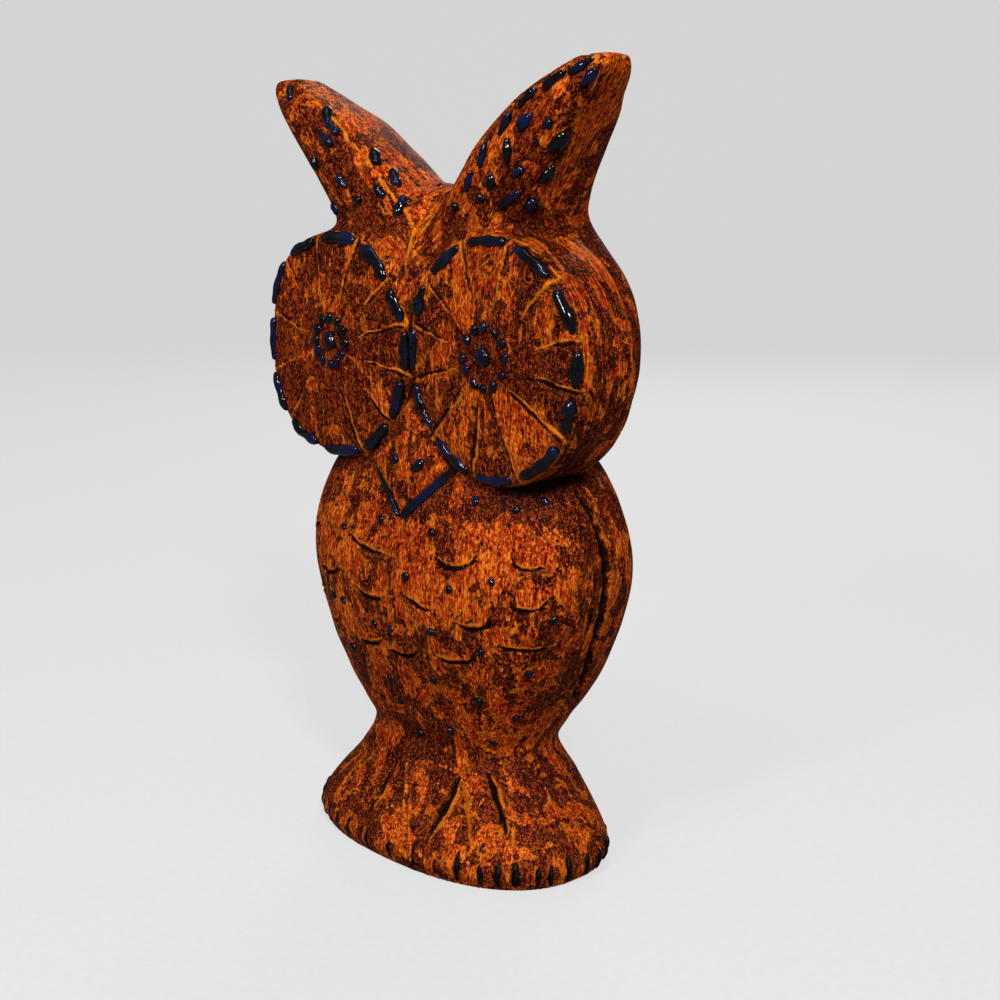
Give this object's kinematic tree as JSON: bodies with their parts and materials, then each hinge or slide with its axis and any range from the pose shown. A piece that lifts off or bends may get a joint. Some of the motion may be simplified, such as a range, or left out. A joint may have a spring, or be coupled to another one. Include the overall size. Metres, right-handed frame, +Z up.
{
  "type": "owl figurine",
  "caption": "Carved and painted wooden owl standing on a flared foot, with upright ears, large round eye discs and raised enamel dots and dashes.",
  "frame": {"origin": "on the flat underside of the foot, in the owl's middle plane and at the middle of the carver's blank", "axes": "+Z up from the underside to the ear tips; the owl looks along -Y; +X is the owl's own left"},
  "size_m": [0.1478, 0.0688, 0.24],
  "materials": {
    "painted_wood": "brushed acrylic paint, satin",
    "enamel": "raised gloss enamel"
  },
  "bodies": {
    "root": {"carved_block": "painted_wood", "left_eye_rim_dashes": "enamel", "right_eye_rim_dashes": "enamel", "left_iris_ring": "enamel", "right_iris_ring": "enamel", "left_pupil": "enamel", "right_pupil": "enamel", "beak_strokes": "enamel", "nostril_dots": "enamel", "left_ear_edge_dashes": "enamel", "right_ear_edge_dashes": "enamel", "left_ear_spots": "enamel", "right_ear_spots": "enamel", "breast_dots": "enamel", "hem_ticks": "enamel", "left_wing_line": "enamel", "right_wing_line": "enamel"}
  },
  "joints": []
}
